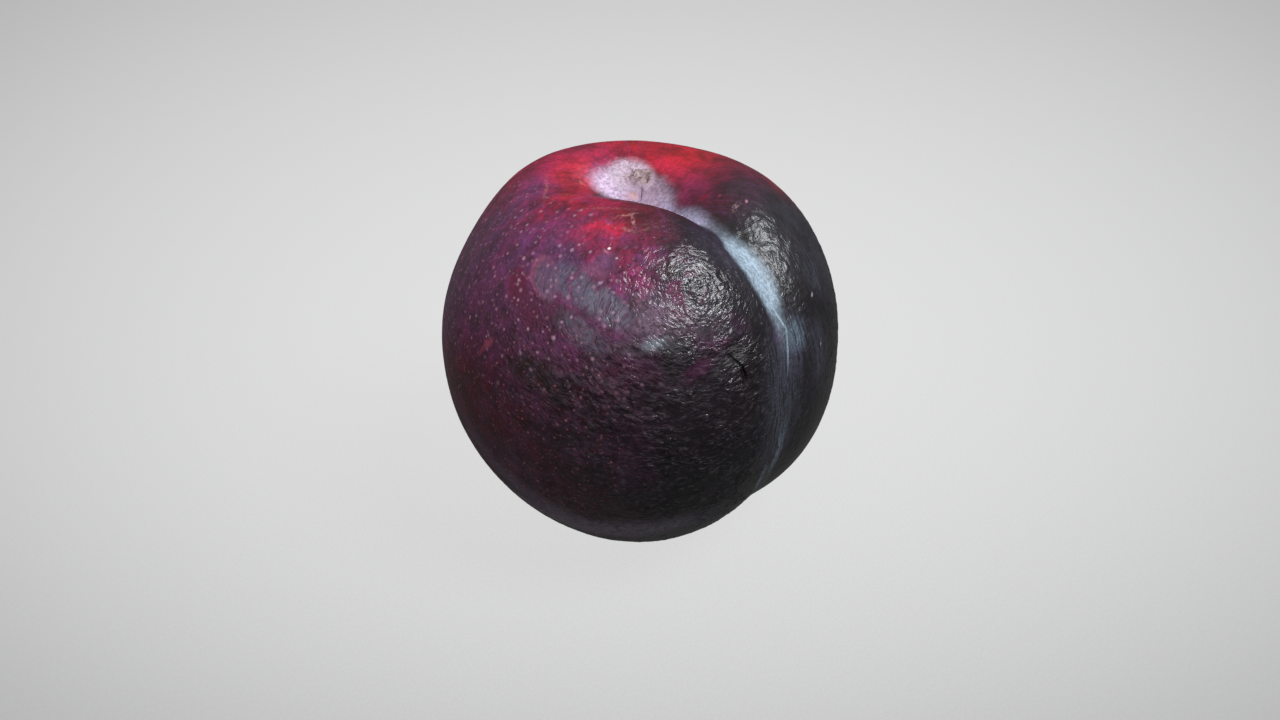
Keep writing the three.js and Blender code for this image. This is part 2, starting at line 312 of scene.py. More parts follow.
# Raised and sunken places: name, azimuth, latitude, half length, half width, tilt and softness
# as above, and height in millimetres.
DENTS = (
    ("front lip of the cavity", -64, 67, 16, 7, 0, 0.90, 1.00),
    ("brow of the right lobe", 21, 61, 9, 8, 0, 0.95, 0.80),
    ("dark pit", -20.5, 24, 2.4, 1.6, -20, 0.80, -0.28),
    ("dip along the crack", -19.2, 18.6, 5.0, 0.9, -58, 0.80, -0.12),
    ("ridge right of the crack", -17.0, 19.2, 5.0, 1.0, -58, 0.80, 0.14),
    ("stem scar's ring", 132, 79, 3.8, 3.5, 0, 0.25, 0.60),
    ("stem scar's dip", 132, 79, 2.5, 2.3, 0, 0.40, -0.75),
    ("stem scar's knob", 132, 79, 1.2, 1.1, 0, 0.60, 0.60),
    ("furrow below the scar", 129, 86, 2.2, 0.7, 90, 0.80, -0.35),
)

# The same for places too narrow for the mesh, which the bump holds.
SCRATCHES = (
    ("crack, upper arm", -20.0, 21.2, 2.50, 0.40, -52, 0.80, -0.30),
    ("crack, lower arm", -17.9, 17.7, 2.10, 0.55, -74, 0.80, -0.40),
    ("short dark dash", -27, -8, 0.90, 0.30, 45, 0.80, -0.05),
    ("furrow below the scar", 129, 86, 2.2, 0.4, 90, 0.80, -0.20),
)

# The crown of the left shoulder: its azimuth and latitude.
SHOULDER_CROWN = (-28, 38)

# Areas that a whole effect covers: azimuth, latitude, half length, half width, tilt and softness.
GLOSS = (-29, 38, 17, 15, 0, 0.60)
ROUND_THE_GLOSS = (-36, 30, 30, 24, 0, 0.60)
LOBE_FOLDS = (11, 44, 17, 9, -80, 0.60)
ROUND_THE_FOLDS = (22, 28, 42, 24, -80, 0.90)
LOW_RIPPLES = (-38, 8, 30, 20, -8, 0.50)
ROUND_THE_RIPPLES = (-45, -15, 48, 30, 0, 0.70)
WOUND = (-17, 19, 8, 8, 0, 0.60)
PIT = (-20.5, 23, 3.6, 3.0, 0, 0.50)
WRINKLED_FRONT = (-38, 12, 47, 43, 0, 0.50)
CAVITY = (160, 80, 15, 13, 0, 0.40)
LEFT_SHOULDER = (-92, 52, 44, 13, 4, 0.60)
LEFT_CHEEK = (-95, 20, 48, 42, 0, 0.50)
LARGE_DOTS = (-96, 38, 46, 26, 0, 0.40)
SMALL_DOTS = (-92, 6, 42, 46, 0, 0.50)
DOTS_BEHIND = (150, 5, 68, 52, 0, 0.40)
MATTE_SIDE = (-115, 20, 50, 60, 0, 0.60)

# The bloom that fills the groove: its two edges, in millimetres from the plane of the suture
# towards +X, and its thickness, each at an angle from the stem axis in degrees. No edge lies
# further from the plane than the limit.
GROOVE_EDGE_LIMIT = 6
GROOVE_LEFT_EDGE = (
    (8, -3.0), (20, -1.0), (30, -0.8), (35, -0.9), (39, -2.2), (44, -3.2),
    (50, -2.8), (57, -2.2), (62, -1.7), (66, -1.2), (71, -0.7), (77, -0.5),
)
GROOVE_RIGHT_EDGE = (
    (8, 3.2), (14, 2.6), (20, 2.0), (25, 1.4), (30, 0.9), (35, 0.6), (39, 0.6),
    (44, 1.2), (50, 1.5), (57, 1.2), (62, 0.7), (66, 0.3), (71, -0.1), (77, -0.3),
)
GROOVE_THICKNESS = (
    (6, 0.0), (12, 0.9), (20, 1.0), (28, 0.9), (33, 0.35), (37, 0.45), (42, 0.95),
    (56, 0.95), (61, 0.6), (66, 0.35), (72, 0.15), (78, 0.0),
)
GROOVE_BLOOM_HIGH = (0.400, 0.365, 0.520)
GROOVE_BLOOM_LOW = (0.300, 0.380, 0.460)


def direction(azimuth, latitude):
    """Unit vector to a place on the skin."""
    a, l = math.radians(azimuth), math.radians(latitude)
    return Vector((math.cos(l) * math.sin(a), -math.cos(l) * math.cos(a), math.sin(l)))


def local_axes(azimuth, latitude, tilt):
    """Two unit vectors that lie in the skin at a place, the first one tilted up from level."""
    east = Vector((math.cos(math.radians(azimuth)), math.sin(math.radians(azimuth)), 0))
    north = direction(azimuth, latitude).cross(east)
    t = math.radians(tilt)
    return math.cos(t) * east + math.sin(t) * north, math.cos(t) * north - math.sin(t) * east


def rgba(colour):
    """The colour with its fourth value, as a socket wants it; a socket passes unchanged."""
    return (*colour, 1) if isinstance(colour, tuple) and len(colour) == 3 else colour


class Graph:
    """Adds nodes to a tree and joins them, so that a line of script reads as a formula."""

    def __init__(self, tree):
        self.tree = tree

    def add(self, kind, inputs=None, **settings):
        """A new node of a kind, with its settings made and its inputs filled or joined."""
        node = self.tree.nodes.new(kind)
        for name, value in settings.items():
            setattr(node, name, value)
        for name, value in (inputs or {}).items():
            self.put(node.inputs[name], value)
        return node

    def put(self, socket, value):
        if isinstance(value, bpy.types.NodeSocket):
            self.tree.links.new(value, socket)
        elif value is not None:
            socket.default_value = value

    def math(self, operation, a, b=None, c=None, clamp=False):
        node = self.add("ShaderNodeMath", operation=operation, use_clamp=clamp)
        for socket, value in zip(node.inputs, (a, b, c)):
            self.put(socket, value)
        return node.outputs[0]

    def vector(self, operation, a, b=None, scale=None):
        node = self.add("ShaderNodeVectorMath", operation=operation)
        self.put(node.inputs[0], a)
        if operation == "SCALE":
            self.put(node.inputs["Scale"], scale)
        else:
            self.put(node.inputs[1], b)
        return node.outputs["Value" if operation in ("DOT_PRODUCT", "LENGTH", "DISTANCE") else "Vector"]

    def total(self, *terms):
        out = terms[0]
        for term in terms[1:]:
            out = self.math("ADD", out, term)
        return out

    def product(self, *terms):
        out = terms[0]
        for term in terms[1:]:
            out = self.math("MULTIPLY", out, term)
        return out

    def noise(self, place, size, detail=2.0, roughness=0.5, w=None, output=0):
        """Noise whose lumps are about `size` units wide; output 0 is a value, 1 a colour."""
        node = self.add("ShaderNodeTexNoise", noise_dimensions="3D" if w is None else "4D")
        given = {"Vector": place, "W": w, "Scale": 1 / size, "Detail": detail, "Roughness": roughness}
        for name, value in given.items():
            if value is not None:
                self.put(node.inputs[name], value)
        return node.outputs[output]

    def step(self, value, low, high, to_low=0.0, to_high=1.0):
        """A smooth rise from to_low at low to to_high at high; low may be above high."""
        if low > high:
            low, high, to_low, to_high = high, low, to_high, to_low
        limits = {"Value": value, "From Min": low, "From Max": high, "To Min": to_low, "To Max": to_high}
        return self.add("ShaderNodeMapRange", limits, interpolation_type="SMOOTHSTEP").outputs[0]

    def curve(self, value, points, low, high):
        """The height, between low and high, of a smooth curve through points given in degrees."""
        node = self.add("ShaderNodeFloatCurve", {"Value": self.math("DIVIDE", value, 90)})
        line = node.mapping.curves[0]
        ready = [(x / 90, (y - low) / (high - low)) for x, y in points]
        ready = [(0, ready[0][1]), *ready, (1, ready[-1][1])]
        while len(line.points) < len(ready):
            line.points.new(0.5, 0.5)
        for point, (x, y) in zip(line.points, ready):
            point.location = (x, y)
        node.mapping.update()
        return self.math("MULTIPLY_ADD", node.outputs[0], high - low, low)

    def mix(self, share, a, b):
        """Colour a with a share of colour b over it."""
        node = self.add("ShaderNodeMix", {0: share}, data_type="RGBA")
        first_colour, second_colour, mixed = node.inputs[6], node.inputs[7], node.outputs[2]
        self.put(first_colour, rgba(a))
        self.put(second_colour, rgba(b))
        return mixed

    def warp(self, place, size, reach, detail=2.0):
        """The place pushed about by noise, up to about `reach` units."""
        push = self.vector("SUBTRACT", self.noise(place, size, detail, output=1), (0.5, 0.5, 0.5))
        return self.vector("ADD", place, self.vector("SCALE", push, scale=2 * reach))

    def parts(self, vector):
        return self.add("ShaderNodeSeparateXYZ", {0: vector}).outputs

    def joined(self, x, y, z):
        return self.add("ShaderNodeCombineXYZ", {0: x, 1: y, 2: z}).outputs[0]

    def oval(self, ray, azimuth, latitude, length, width, tilt, softness):
        """1 inside a soft oval on the skin and 0 outside it."""
        along, across = local_axes(azimuth, latitude, tilt)
        node = self.add(self.tree.bl_idname.replace("Tree", "Group"))
        node.node_tree = oval_group(self.tree.bl_idname)
        self.put(node.inputs["Ray"], ray)
        self.put(node.inputs["Middle"], tuple(direction(azimuth, latitude)))
        self.put(node.inputs["Along"], tuple(along / math.tan(math.radians(length))))
        self.put(node.inputs["Across"], tuple(across / math.tan(math.radians(width))))
        self.put(node.inputs["Inner Edge"], 1 - softness)
        self.put(node.inputs["Outer Edge"], 1 + softness)
        return node.outputs[0]


def new_group(name, kind, sockets, outputs):
    """An empty node group, its graph and the sockets that it is given."""
    tree = bpy.data.node_groups.new(name, kind)
    for label, socket_type in outputs:
        tree.interface.new_socket(label, in_out="OUTPUT", socket_type=socket_type)
    for label, socket_type in sockets:
        tree.interface.new_socket(label, in_out="INPUT", socket_type=socket_type)
    g = Graph(tree)
    return tree, g, g.add("NodeGroupInput").outputs


def oval_group(kind):
    """The node group that masks one soft oval, made once for each kind of tree."""
    name = "Oval Mark, " + kind
    if name in bpy.data.node_groups:
        return bpy.data.node_groups[name]
    vectors = [(label, "NodeSocketVector") for label in ("Ray", "Middle", "Along", "Across")]
    floats = [(label, "NodeSocketFloat") for label in ("Inner Edge", "Outer Edge")]
    tree, g, given = new_group(name, kind, vectors + floats, [("Mask", "NodeSocketFloat")])
    facing = g.math("MAXIMUM", g.vector("DOT_PRODUCT", given["Ray"], given["Middle"]), 0.01)
    u = g.math("DIVIDE", g.vector("DOT_PRODUCT", given["Ray"], given["Along"]), facing)
    v = g.math("DIVIDE", g.vector("DOT_PRODUCT", given["Ray"], given["Across"]), facing)
    away = g.math("SQRT", g.math("MULTIPLY_ADD", u, u, g.math("MULTIPLY", v, v)))
    edge = {"Value": away, "From Min": given["Inner Edge"], "From Max": given["Outer Edge"],
            "To Min": 1.0, "To Max": 0.0}
    mask = g.add("ShaderNodeMapRange", edge, interpolation_type="SMOOTHSTEP").outputs[0]
    g.add("NodeGroupOutput", {"Mask": mask})
    return tree


# ---- relief ---------------------------------------------------------------------------------


def combed(g, p, lie, across, along, detail=2.0):
    """Noise drawn out along the lines on which `lie` is level; both sizes are in millimetres."""
    place = g.vector("SCALE", p, scale=1 / along)
    return g.noise(place, 1.0, detail, 0.55, w=g.math("DIVIDE", lie, across))


def creased(g, place, size, w):
    """Rounded lumps with sharp creases between them, up to about 0.5 high."""
    return g.math("ABSOLUTE", g.math("SUBTRACT", g.noise(place, size, w=w), 0.5))


def from_crown(g, p):
    """How far out from the crown of the left shoulder a place is, in millimetres."""
    reach = g.vector("SUBTRACT", p, tuple(GIRTH_RADIUS_MM * direction(*SHOULDER_CROWN)))
    return g.vector("LENGTH", g.vector("MULTIPLY", reach, (0.8, 0.8, 1.0)))


def bent(g, p, size, reach):
    """The place bent twice, so that lines drawn through it wander."""
    return g.warp(g.warp(p, 4.5, 1.2), size, reach)


def patches(g, p, thin, thick):
    """A value that drifts between thin and thick over a few millimetres."""
    return g.step(g.noise(p, 3.5, 1.0), 0.35, 0.62, thin, thick)


def area(g, ray, inner, outer, share):
    """1 in the inner area and a share of it in the outer one."""
    return g.math("MAXIMUM", g.oval(ray, *inner), g.math("MULTIPLY", g.oval(ray, *outer), share))


def crinkles(g, p):
    """The crinkled places, in millimetres of height: p is the place in millimetres."""
    wandering = bent(g, p, 1.5, 0.35)
    x, y, z = g.parts(wandering)
    drift = g.vector("NORMALIZE", g.warp(p, 5, 2.0))
    outward = g.math("MULTIPLY", from_crown(g, wandering), 0.6)
    rings = g.product(creased(g, wandering, 1.4, outward), area(g, drift, GLOSS, ROUND_THE_GLOSS, 0.7), 0.68)
    sideways = g.math("MULTIPLY", x, 0.6)
    lobe = area(g, drift, LOBE_FOLDS, ROUND_THE_FOLDS, 0.7)
    folds = g.product(creased(g, wandering, 1.2, sideways), lobe, 0.95)
    upward = g.math("MULTIPLY", z, 0.9)
    low = area(g, drift, LOW_RIPPLES, ROUND_THE_RIPPLES, 0.5)
    ripples = g.product(creased(g, wandering, 1.1, upward), low, patches(g, p, 0.45, 2.2))
    wound = g.product(creased(g, wandering, 0.9, 0.0), g.oval(drift, *WOUND), 0.80)
    puckers = g.product(creased(g, g.warp(p, 1.4, 0.6), 1.1, 0.0), g.oval(drift, *CAVITY), 1.80)
    return g.total(rings, folds, ripples, wound, puckers)


def dents(g, ray, marks):
    """The height of a set of raised and sunken marks, in millimetres."""
    heights = [g.math("MULTIPLY", g.oval(ray, *place), height) for name, *place, height in marks]
    return g.total(*heights)


def skin_relief(g, ray, p, seed):
    """How far the skin stands out, in millimetres; the foot stays flat."""
    swell = g.product(g.math("SUBTRACT", g.noise(p, 6, 1.0, w=seed), 0.5), 0.14)
    pores = g.product(creased(g, p, 1.6, seed), 0.10)
    rise = g.total(crinkles(g, p), swell, pores, dents(g, ray, DENTS))
    return g.math("MULTIPLY", rise, g.step(g.parts(ray)[2], -0.985, -0.95))


def skin_tree():
    """The node tree that casts a fine, relieved skin onto the smoothed solid."""
    sockets = [("Geometry", "NodeSocketGeometry"), ("Solid", "NodeSocketObject"),
               ("Centre", "NodeSocketVector"), ("Cells", "NodeSocketInt"), ("Relief", "NodeSocketFloat"),
               ("Seed", "NodeSocketFloat"), ("Material", "NodeSocketMaterial")]
    tree, g, given = new_group("Plum Skin", "GeometryNodeTree", sockets, [("Geometry", "NodeSocketGeometry")])
    tree.is_modifier = True
    corners = g.math("ADD", given["Cells"], 1)
    counts = {"Vertices X": corners, "Vertices Y": corners, "Vertices Z": corners}
    cube = g.add("GeometryNodeMeshCube", {"Size": (2, 2, 2), **counts})
    place = g.add("GeometryNodeInputPosition").outputs[0]
    even = [g.math("TANGENT", g.math("MULTIPLY", c, math.pi / 4)) for c in g.parts(place)]
    ray = g.vector("NORMALIZE", g.joined(*even))
    ray = g.vector("NORMALIZE", g.vector("ADD", ray, tuple(FINER_IN_FRONT * direction(*SHOULDER_CROWN))))
    target = g.add("GeometryNodeObjectInfo", {"Object": given["Solid"]}, transform_space="ORIGINAL")
    aim = {"Source Position": given["Centre"], "Ray Direction": ray, "Ray Length": 0.1}
    hit = g.add("GeometryNodeRaycast", {"Target Geometry": target.outputs["Geometry"], **aim}).outputs
    p = g.vector("SCALE", g.vector("SUBTRACT", hit["Hit Position"], given["Centre"]), scale=MM_PER_M)
    rise = g.math("MULTIPLY", skin_relief(g, ray, p, given["Seed"]), given["Relief"])
    lift = g.vector("SCALE", hit["Hit Normal"], scale=g.math("DIVIDE", rise, MM_PER_M))
    lifted = g.vector("ADD", hit["Hit Position"], lift)
    skin = g.add("GeometryNodeSetPosition", {"Geometry": cube.outputs["Mesh"], "Position": lifted})
    missed = g.add("FunctionNodeBooleanMath", {0: hit["Is Hit"]}, operation="NOT").outputs[0]
    met = g.add("GeometryNodeDeleteGeometry", {"Geometry": skin.outputs[0], "Selection": missed})
    real = g.add("GeometryNodeRealizeInstances", {"Geometry": met.outputs[0]})
    dressed = g.add("GeometryNodeSetMaterial", {"Geometry": real.outputs[0], "Material": given["Material"]})
    g.add("NodeGroupOutput", {"Geometry": dressed.outputs[0]})
    return tree


# ---- the skin's material --------------------------------------------------------------------


def ring_noise(g, p):
    """The fine wrinkles round the shoulder's crown, from 0 in a crease to 1 on a ridge."""
    wandering = bent(g, p, 1.2, 0.3)
    return combed(g, wandering, from_crown(g, wandering), 0.36, 0.80)


def fold_noise(g, p):
    """The fine folds that run down the right lobe beside the suture."""
    wandering = bent(g, p, 1.2, 0.3)
    return combed(g, wandering, g.parts(wandering)[0], 0.42, 1.1)


def fine_wrinkles(g, p, firm, drift, rings):
    """The finest wrinkles, in millimetres of height, for the bump of the skin."""
    front = g.math("MULTIPLY", g.oval(drift, *WRINKLED_FRONT), patches(g, p, 0.05, 0.20))
    core = g.math("MULTIPLY", g.oval(drift, *GLOSS), 0.06)
    wound = g.math("MULTIPLY", g.oval(drift, *WOUND), 0.10)
    ringed = g.math("MULTIPLY", rings, g.total(front, core, wound, 0.035))
    folded = g.product(fold_noise(g, p), g.oval(drift, *ROUND_THE_FOLDS), 0.14)
    grain = g.math("MULTIPLY", g.noise(p, 0.35, 2, 0.6), 0.04)
    return g.total(ringed, folded, grain, dents(g, firm, SCRATCHES))


def paint(g, ray, marks, colour, thickness=None):
    """The colour with a set of marks laid over it, and how much is covered."""
    cover = 0.0
    for name, *place, strength, tint in marks:
        mask = g.math("MULTIPLY", g.oval(ray, *place), strength)
        if thickness is not None:
            mask = g.math("MULTIPLY", mask, thickness, clamp=True)
        colour = g.mix(mask, colour, tint)
        cover = g.math("MAXIMUM", mask, cover)
    return colour, cover


def strands(g, p, width, length):
    """Noise drawn out along the lines from stem to tip, in millimetres."""
    x, y, z = g.parts(g.warp(p, 4, 0.9))
    girth = g.math("SQRT", g.math("MULTIPLY_ADD", x, x, g.math("MULTIPLY", y, y)))
    round_way = [g.math("MULTIPLY", g.math("DIVIDE", c, girth), GIRTH_RADIUS_MM / width) for c in (x, y)]
    return g.noise(g.joined(*round_way, g.math("DIVIDE", z, length)), 1.0, 3, 0.6)


def blotches(g, p, size, shift):
    """Ragged patches, about as many as gaps."""
    moved = g.vector("ADD", p, shift)
    return g.step(g.noise(g.warp(moved, size, 0.4 * size, 3), size, 4, 0.6), 0.47, 0.60)


def pigment(g, p, drift):
    """The colour in the skin itself: broad marks broken up by violet, crimson and dark patches."""
    colour, _ = paint(g, drift, PIGMENT, NIGHT_SKIN)
    shoulder = g.oval(drift, *LEFT_SHOULDER)
    colour = g.mix(g.product(blotches(g, p, 2.6, (0, 0, 0)), shoulder, 0.60), colour, VIOLET)
    colour = g.mix(g.product(blotches(g, p, 2.0, (9, 2, 5)), shoulder, 0.50), colour, CRIMSON)
    height = g.parts(drift)[2]
    ring = g.math("MULTIPLY", g.step(height, 0.76, 0.86), g.step(height, 0.985, 0.95))
    threads = g.step(strands(g, p, 0.7, 5), 0.52, 0.68)
    colour = g.mix(g.product(threads, ring, 0.30), colour, VIOLET)
    cheek = g.oval(drift, *LEFT_CHEEK)
    colour = g.mix(g.product(blotches(g, p, 1.7, (3, 8, 1)), cheek, 0.55), colour, MAROON)
    colour = g.mix(g.product(blotches(g, p, 1.9, (6, 1, 4)), cheek, 0.15), colour, BLUE_VIOLET)
    colour = g.vector("SCALE", colour, scale=g.step(strands(g, p, 0.45, 3.5), 0.3, 0.7, 0.88, 1.14))
    return g.vector("SCALE", colour, scale=g.step(g.noise(p, 3.0, 4, 0.6), 0.3, 0.7, 0.58, 1.42))


def crease_shade_and_ridge_sheen(g, drift, rings, colour):
    """Painted shade in the creases and a painted sheen on the ridges over the wrinkled front."""
    front = g.oval(drift, *WRINKLED_FRONT)
    colour = g.mix(g.product(g.step(rings, 0.50, 0.32), front, 0.70), colour, CREASE_SHADE)
    return g.mix(g.product(g.step(rings, 0.53, 0.68), front, 0.42), colour, RIDGE_SHEEN)


def thin_wax(g, p, firm, rings, colour):
    """A grey film, hatched on the left cheek, and strands of it down the groove."""
    wandering = bent(g, p, 1.4, 0.15)
    strokes = combed(g, wandering, g.vector("DOT_PRODUCT", wandering, HATCH_ACROSS), 0.26, 1.4, 1.0)
    colour, _ = paint(g, firm, HATCHED, colour, g.step(strokes, 0.38, 0.54, 0.25, 1.10))
    colour, _ = paint(g, firm, FILM, colour, g.step(rings, 0.38, 0.60, 0.45, 1.20))
    drawn = g.step(strands(g, p, 0.4, 4.0), 0.36, 0.62, 0.15, 1.30)
    colour, _ = paint(g, firm, STRANDS, colour, drawn)
    return colour


def groove_bloom(g, p, ray):
    """How thick the bloom lies in the suture groove, and its colour."""
    x = g.parts(g.warp(g.warp(p, 2.4, 0.35), 0.7, 0.16))[0]
    polar = g.math("MULTIPLY", g.math("ARCCOSINE", g.parts(ray)[2]), 180 / math.pi)
    edges = [g.curve(polar, edge, -GROOVE_EDGE_LIMIT, GROOVE_EDGE_LIMIT)
             for edge in (GROOVE_LEFT_EDGE, GROOVE_RIGHT_EDGE)]
    left = g.math("SUBTRACT", x, edges[0])
    right = g.math("SUBTRACT", edges[1], x)
    inside = g.math("MULTIPLY", g.step(left, -0.9, 0.8), g.step(right, -0.9, 1.1))
    front = g.step(g.parts(ray)[1], 0.05, -0.1)
    thick = g.product(inside, front, g.curve(polar, GROOVE_THICKNESS, 0, 1))
    return thick, g.mix(g.step(polar, 26, 40), GROOVE_BLOOM_HIGH, GROOVE_BLOOM_LOW)


def thick_bloom(g, p, firm, fine, colour, amount):
    """White bloom in the cavity and the groove, and how much of the skin it covers."""
    chalk = g.step(strands(g, p, 0.3, 1.6), 0.3, 0.65, 0.75, 1.1)
    chalk = g.product(chalk, g.step(fine, 0.3, 0.7, 0.85, 1.1), amount)
    colour, cover = paint(g, firm, BLOOM, colour, chalk)
    thick, tint = groove_bloom(g, p, firm)
    thick = g.math("MULTIPLY", thick, chalk, clamp=True)
    return g.mix(thick, colour, tint), g.math("MAXIMUM", cover, thick)


def lenticels(g, p, size, radius):
    """Small round dots of uneven size, one in each cell of the given size in millimetres."""
    cells = g.add("ShaderNodeTexVoronoi", {"Vector": p, "Scale": 1 / size, "Randomness": 0.9}).outputs
    away = g.math("MULTIPLY", cells["Distance"], size)
    chance, share, _ = g.parts(cells["Color"])
    own = g.math("MULTIPLY_ADD", share, 0.7 * radius, 0.45 * radius)
    dot = g.step(g.math("DIVIDE", away, own), 1.0, 0.25)
    return g.product(dot, g.math("MULTIPLY_ADD", chance, 0.8, 0.3))


def dots(g, p, drift, bloom, colour, settings):
    """Lenticels: pale ones high on the left, smaller and pinker ones lower down and behind."""
    bare = g.math("MULTIPLY", g.math("SUBTRACT", 1, bloom), settings.dots)
    large = g.product(lenticels(g, p, 1.0, 0.37), g.oval(drift, *LARGE_DOTS), bare, 0.90)
    colour = g.mix(large, colour, tuple(settings.dot_colour))
    small = lenticels(g, g.vector("ADD", p, (3, 5, 7)), 0.75, 0.24)
    around = g.math("MAXIMUM", g.oval(drift, *SMALL_DOTS), g.oval(drift, *DOTS_BEHIND))
    return g.mix(g.product(small, around, bare, 0.85), colour, SMALL_DOT)


def skin_colour(g, p, firm, drift, rings, settings):
    """The base colour and the share of matte bloom."""
    fine = g.noise(p, 0.5, 3, 0.65)
    colour = crease_shade_and_ridge_sheen(g, drift, rings, pigment(g, p, drift))
    colour, _ = paint(g, firm, SPOTS, colour)
    colour = thin_wax(g, p, firm, rings, colour)
    colour, bloom = thick_bloom(g, p, firm, fine, colour, settings.bloom)
    colour = dots(g, p, drift, bloom, colour, settings)
    colour = g.vector("SCALE", colour, scale=g.step(fine, 0.3, 0.7, 0.76, 1.24))
    cork = g.step(g.noise(g.warp(p, 0.6, 0.25), 0.34, 2, 0.6), 0.43, 0.56)
    colour, _ = paint(g, firm, SCUFFS, colour, cork)
    crisp = g.vector("NORMALIZE", g.warp(p, 0.5, 0.10, 2))
    colour, _ = paint(g, crisp, FLECKS, colour)
    return colour, bloom


def skin_roughness(g, firm, drift, bloom, settings):
    """Shinier at the gloss, duller under bloom, on the left side and in the pit."""
    matte = g.total(g.math("MULTIPLY", bloom, 0.30), g.math("MULTIPLY", g.oval(drift, *MATTE_SIDE), 0.12),
                    g.math("MULTIPLY", g.oval(firm, *PIT), 0.30), settings.roughness)
    return g.math("SUBTRACT", matte, g.math("MULTIPLY", g.oval(drift, *ROUND_THE_GLOSS), 0.09))


def skin_material(settings):
    """The finished skin: its colour, its roughness and its finest wrinkles."""
    material = bpy.data.materials.new("plum skin")
    material.use_nodes = True
    g = Graph(material.node_tree)
    shader = material.node_tree.nodes["Principled BSDF"]
    place = g.add("ShaderNodeTexCoord").outputs["Object"]
    p = g.vector("SCALE", g.vector("SUBTRACT", place, tuple(GIRTH_CENTRE)), scale=MM_PER_M)
    firm = g.vector("NORMALIZE", g.warp(p, 1.6, 0.3, 3))
    drift = g.vector("NORMALIZE", g.warp(g.warp(p, 5, 1.6), 1.4, 0.5, 4))
    rings = ring_noise(g, p)
    colour, bloom = skin_colour(g, p, firm, drift, rings, settings)
    g.put(shader.inputs["Base Color"], colour)
    g.put(shader.inputs["Roughness"], skin_roughness(g, firm, drift, bloom, settings))
    height = g.math("MULTIPLY", fine_wrinkles(g, p, firm, drift, rings), settings.wrinkles)
    bump = g.add("ShaderNodeBump", {"Strength": 1.0, "Distance": 1 / MM_PER_M, "Height": height})
    g.put(shader.inputs["Normal"], bump.outputs[0])
    return material


# ---- objects --------------------------------------------------------------------------------


def set_input(modifier, name, value):
    """Sets a modifier's input by the identifier of the socket that has the name."""
    for item in modifier.node_group.interface.items_tree:
        if item.item_type == "SOCKET" and item.in_out == "INPUT" and item.name == name:
            modifier[item.identifier] = value
            return
    raise KeyError(name)


def new_object(name, data):
    """A new object at the origin, linked to the scene."""
    made = bpy.data.objects.new(name, data)
    bpy.context.scene.collection.objects.link(made)
    return made


def smooth_solid():
    """A welded, smoothed copy of the plum's solid for the skin to be cast on."""
    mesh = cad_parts["plum"].data.copy()
    bm = bmesh.new()
    bm.from_mesh(mesh)
    bmesh.ops.remove_doubles(bm, verts=bm.verts, dist=1e-6)
    bm.to_mesh(mesh)
    bm.free()
    made = new_object("smooth_solid", mesh)
    sub = made.modifiers.new("Smooth", "SUBSURF")
    sub.levels = sub.render_levels = 2
    return made


# ---- stage ----------------------------------------------------------------------------------


def view_axes():
    """The camera's right, up and back."""
    right, up = local_axes(VIEW_AZIMUTH, VIEW_LATITUDE, VIEW_ROLL)
    return right, up, direction(VIEW_AZIMUTH, VIEW_LATITUDE)


def set_camera(scene):
    """The camera, aimed past the middle of the girth by its shift."""
    data = bpy.data.cameras.new("camera")
    data.sensor_width = SENSOR_MM
    data.lens = LENS_MM
    data.shift_x, data.shift_y = VIEW_SHIFT
    data.clip_start = 0.01
    camera = new_object("camera", data)
    right, up, back = view_axes()
    camera.location = GIRTH_CENTRE + VIEW_DISTANCE * back
    camera.rotation_euler = Matrix((right, up, back)).transposed().to_euler()
    scene.camera = camera


def set_sky(scene, settings):
    """A soft sky, brightest high over the front; the camera sees it as plain as the far floor."""
    scene.world = bpy.data.worlds.new("soft studio")
    scene.world.use_nodes = True
    g = Graph(scene.world.node_tree)
    sky = scene.world.node_tree.nodes["Background"]
    way = g.add("ShaderNodeTexCoord").outputs["Generated"]
    brightest = tuple(direction(VIEW_AZIMUTH, SKY_LATITUDE))
    facing = g.vector("DOT_PRODUCT", way, brightest)
    glow = g.step(facing, SKY_DARKEST, SKY_BRIGHTEST, settings.dark_side, settings.bright_side)
    seen = g.add("ShaderNodeLightPath").outputs["Is Camera Ray"]
    far_floor = FLOOR_BOUNCE + (settings.floor_tone - FLOOR_BOUNCE) * (1 - POOL_LIMIT * POOL_FALL)
    seen_sky = g.math("MULTIPLY", seen, g.math("SUBTRACT", far_floor, glow))
    g.put(sky.inputs["Strength"], g.math("ADD", glow, seen_sky))
    sky.inputs["Color"].default_value = (1, 1, 1, 1)


def painted_light_pool(g, place):
    """The painted pool of light: 1 in the middle of the stage and less outwards, shaped as a lamp beside the
    camera would throw it.
    """
    right, up, back = view_axes()
    reach = g.vector("SUBTRACT", place, tuple(GIRTH_CENTRE + VIEW_DISTANCE * back))
    ahead = g.math("MAXIMUM", g.vector("DOT_PRODUCT", reach, tuple(-back)), 0.001)
    aside = g.math("DIVIDE", g.vector("DOT_PRODUCT", reach, tuple(right / POOL_HALF_WIDTH)), ahead)
    above = g.math("DIVIDE", g.vector("DOT_PRODUCT", reach, tuple(up / POOL_HALF_HEIGHT)), ahead)
    away = g.math("MULTIPLY_ADD", aside, aside, g.math("MULTIPLY", above, above))
    near = g.math("SMOOTH_MIN", away, POOL_LIMIT, POOL_SOFTNESS)
    return g.math("SUBTRACT", 1.0, g.math("MULTIPLY", near, POOL_FALL))


